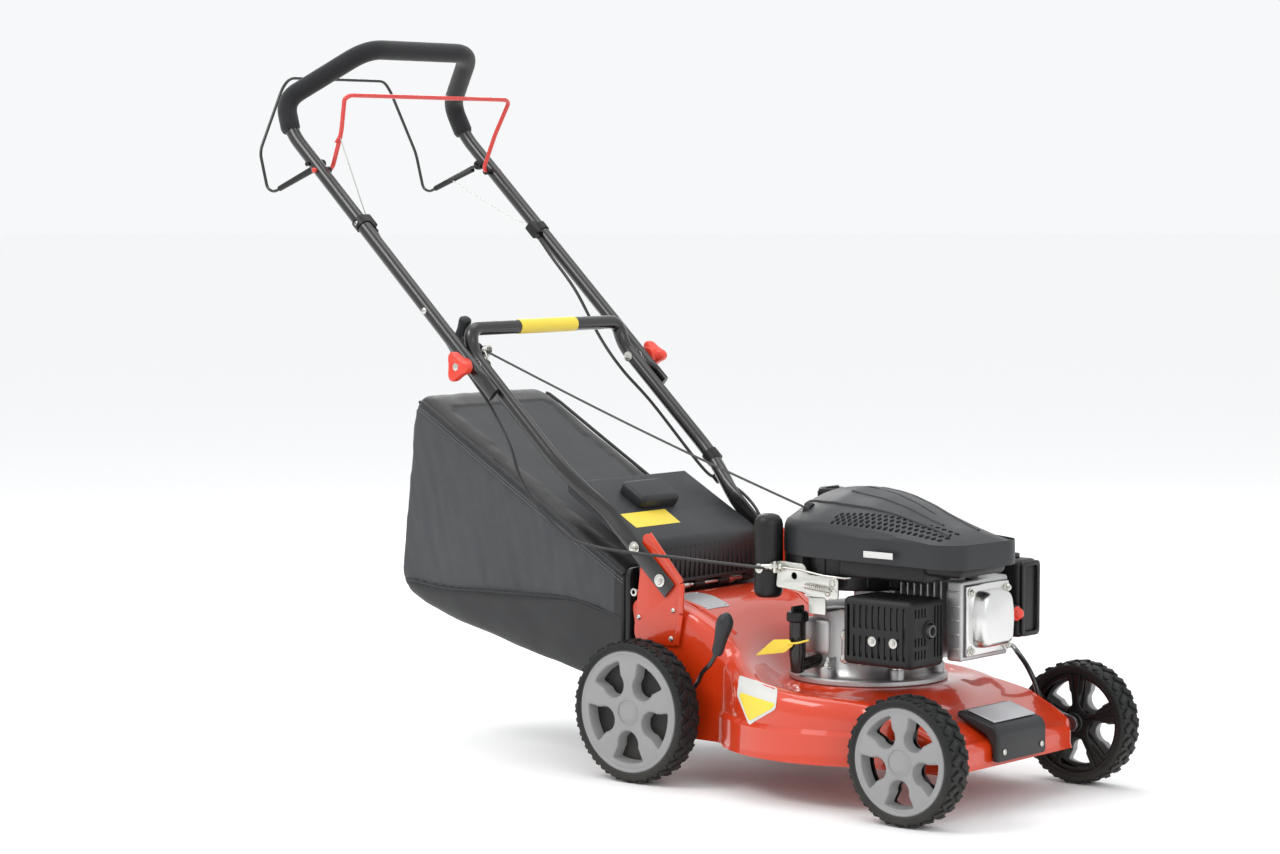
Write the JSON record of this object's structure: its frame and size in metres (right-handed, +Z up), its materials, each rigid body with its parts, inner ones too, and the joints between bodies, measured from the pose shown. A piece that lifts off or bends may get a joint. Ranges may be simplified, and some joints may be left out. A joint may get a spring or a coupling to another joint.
{
  "type": "push lawn mower",
  "caption": "Self-propelled petrol push mower: pressed deck, engine, four wheels, rear grass bag and flap, folding tube handle with stop and drive bails.",
  "frame": {"origin": "on the ground, at the centre of the bounding box", "axes": "+X forward, +Y to the left, +Z up"},
  "size_m": [1.4011, 0.478, 1.1009],
  "materials": {
    "red_paint": "glossy orange-red powder coat",
    "black_paint": "satin black coat",
    "red_rod": "gloss red coat",
    "zinc": "zinc plated",
    "cast": "bare cast aluminium",
    "blade_steel": "oiled spring steel",
    "iron": "machined cast iron",
    "dark_plastic": "fine grained dark grey plastic",
    "black_plastic": "satin black plastic",
    "grey_plastic": "smooth mid grey plastic",
    "red_plastic": "gloss red plastic",
    "tread": "chunky moulded tread",
    "foam": "closed-cell foam",
    "bag_cloth": "woven mesh and plain weave",
    "cable_skin": "smooth sheath",
    "rope": "braided cord"
  },
  "bodies": {
    "chassis": {"deck": "red_paint", "handle_brackets": "red_paint", "carry_handle": "dark_plastic", "flap_rod": "zinc", "lower_handle": "black_paint", "handle_bolts": "zinc", "crankcase": "cast", "valve_cover": "cast", "blower_shroud": "dark_plastic", "fan_housing": "black_plastic", "fuel_tank": "black_plastic", "muffler": "iron", "muffler_guard": "black_paint", "air_filter": "black_plastic", "carburettor": "cast", "spark_plug": "black_plastic", "oil_filler": "black_plastic", "evap_canister": "black_plastic", "brake_bracket": "zinc", "gearbox": "cast", "brake_cable": "cable_skin", "drive_cable": "cable_skin", "starter_rope": "rope"},
    "oil_cap_body": {"oil_cap": "black_plastic"},
    "fuel_cap_body": {"fuel_cap": "black_plastic"},
    "flap_body": {"rear_flap": "dark_plastic"},
    "bag": {"bag_shell": "bag_cloth", "bag_frame": "black_plastic"},
    "upper": {"upper_handle": "black_paint", "foam_grip": "foam", "cable_stops": "black_plastic"},
    "knob_right_body": {"knob_right": "red_plastic"},
    "knob_left_body": {"knob_left": "red_plastic"},
    "stop_bail_body": {"stop_bail": "red_rod", "brake_wire": "zinc"},
    "drive_bail_body": {"drive_bail": "black_paint", "drive_wire": "zinc"},
    "starter_grip_body": {"starter_grip": "dark_plastic"},
    "starter_pulley_body": {"starter_pulley": "black_plastic"},
    "crank": {"crankshaft": "iron", "flywheel": "cast", "blade": "blade_steel", "blade_bolt": "zinc"},
    "front_axle_body": {"front_axle": "zinc", "front_lever": "black_paint"},
    "rear_axle_body": {"rear_axle": "zinc", "rear_lever": "dark_plastic"},
    "drive_shaft_body": {"drive_shaft": "zinc"},
    "wheel_fr": {"tyre_fr": "tread", "rim_fr": "black_plastic", "cover_fr": "grey_plastic"},
    "wheel_fl": {"tyre_fl": "tread", "rim_fl": "black_plastic", "cover_fl": "grey_plastic"},
    "wheel_rr": {"tyre_rr": "tread", "rim_rr": "black_plastic", "cover_rr": "grey_plastic"},
    "wheel_rl": {"tyre_rl": "tread", "rim_rl": "black_plastic", "cover_rl": "grey_plastic"}
  },
  "joints": [
    {"name": "handle_fold", "type": "hinge", "parent": "chassis", "child": "upper", "pos_m": [-0.2127, 0, 0.59827], "axis": [0, 1, 0], "range_deg": [0, 120], "deforming": ["brake_cable", "drive_cable"]},
    {"name": "knob_right_turn", "type": "hinge", "parent": "upper", "child": "knob_right_body", "pos_m": [-0.2127, -0.224, 0.59827], "axis": [0, -1, 0], "range_deg": [0, 720]},
    {"name": "knob_left_turn", "type": "hinge", "parent": "upper", "child": "knob_left_body", "pos_m": [-0.2127, 0.224, 0.59827], "axis": [0, 1, 0], "range_deg": [0, 720]},
    {"name": "stop_bail_squeeze", "type": "hinge", "parent": "upper", "child": "stop_bail_body", "pos_m": [-0.53511, 0, 0.89474], "axis": [0, -1, 0], "range_deg": [0, 42], "stiffness_Nm_per_rad": 2, "springref_deg": -5.73, "deforming": ["brake_wire"]},
    {"name": "drive_bail_squeeze", "type": "hinge", "parent": "upper", "child": "drive_bail_body", "pos_m": [-0.5518, 0, 0.90466], "axis": [0, 1, 0], "range_deg": [0, 40], "stiffness_Nm_per_rad": 2, "springref_deg": -8.59, "deforming": ["drive_wire"]},
    {"name": "flap_lift", "type": "hinge", "parent": "chassis", "child": "flap_body", "pos_m": [0.06528, 0, 0.271], "axis": [0, 1, 0], "range_deg": [0, 60], "stiffness_Nm_per_rad": 0.6, "springref_deg": -17.19},
    {"name": "bag_off", "type": "slide", "parent": "chassis", "child": "bag", "axis": [-1, 0, 0], "range_m": [0, 0.5]},
    {"name": "starter_pull", "type": "slide", "parent": "chassis", "child": "starter_grip_body", "axis": [-0.9401, 0, 0.341], "range_m": [0, 0.6], "stiffness_N_per_m": 15, "springref_m": -0.1, "deforming": ["starter_rope"]},
    {"name": "starter_pulley_spin", "type": "hinge", "parent": "chassis", "child": "starter_pulley_body", "pos_m": [0.38528, 0, 0.386], "axis": [0, 0, -1], "range_deg": [0, 1150]},
    {"name": "crank_spin", "type": "hinge", "parent": "chassis", "child": "crank", "pos_m": [0.38528, 0, 0.2], "axis": [0, 0, -1], "continuous": true},
    {"name": "front_height", "type": "hinge", "parent": "chassis", "child": "front_axle_body", "pos_m": [0.56828, 0, 0.098], "axis": [0, 1, 0], "range_deg": [-30, 18]},
    {"name": "rear_height", "type": "hinge", "parent": "chassis", "child": "rear_axle_body", "pos_m": [0.16528, 0, 0.112], "axis": [0, 1, 0], "range_deg": [-16, 20]},
    {"name": "drive_shaft_spin", "type": "hinge", "parent": "chassis", "child": "drive_shaft_body", "pos_m": [0.16528, 0, 0.112], "axis": [0, 1, 0], "continuous": true},
    {"name": "wheel_fr_roll", "type": "hinge", "parent": "front_axle_body", "child": "wheel_fr", "pos_m": [0.61028, -0.217, 0.09], "axis": [0, 1, 0], "continuous": true},
    {"name": "wheel_fl_roll", "type": "hinge", "parent": "front_axle_body", "child": "wheel_fl", "pos_m": [0.61028, 0.217, 0.09], "axis": [0, 1, 0], "continuous": true},
    {"name": "wheel_rr_roll", "type": "hinge", "parent": "rear_axle_body", "child": "wheel_rr", "pos_m": [0.11028, -0.196, 0.105], "axis": [0, 1, 0], "continuous": true},
    {"name": "wheel_rl_roll", "type": "hinge", "parent": "rear_axle_body", "child": "wheel_rl", "pos_m": [0.11028, 0.196, 0.105], "axis": [0, 1, 0], "continuous": true},
    {"name": "oil_cap_twist", "type": "hinge", "parent": "chassis", "child": "oil_cap_body", "pos_m": [0.33828, -0.108, 0.25], "axis": [0, 0, 1], "range_deg": [0, 90]},
    {"name": "fuel_cap_twist", "type": "hinge", "parent": "chassis", "child": "fuel_cap_body", "pos_m": [0.29428, 0.034, 0.43], "axis": [0, 0, 1], "range_deg": [0, 120]}
  ],
  "couplings": [
    {"joint": "starter_pulley_spin", "follows": "starter_pull", "rad_per_m": 33.3}
  ]
}
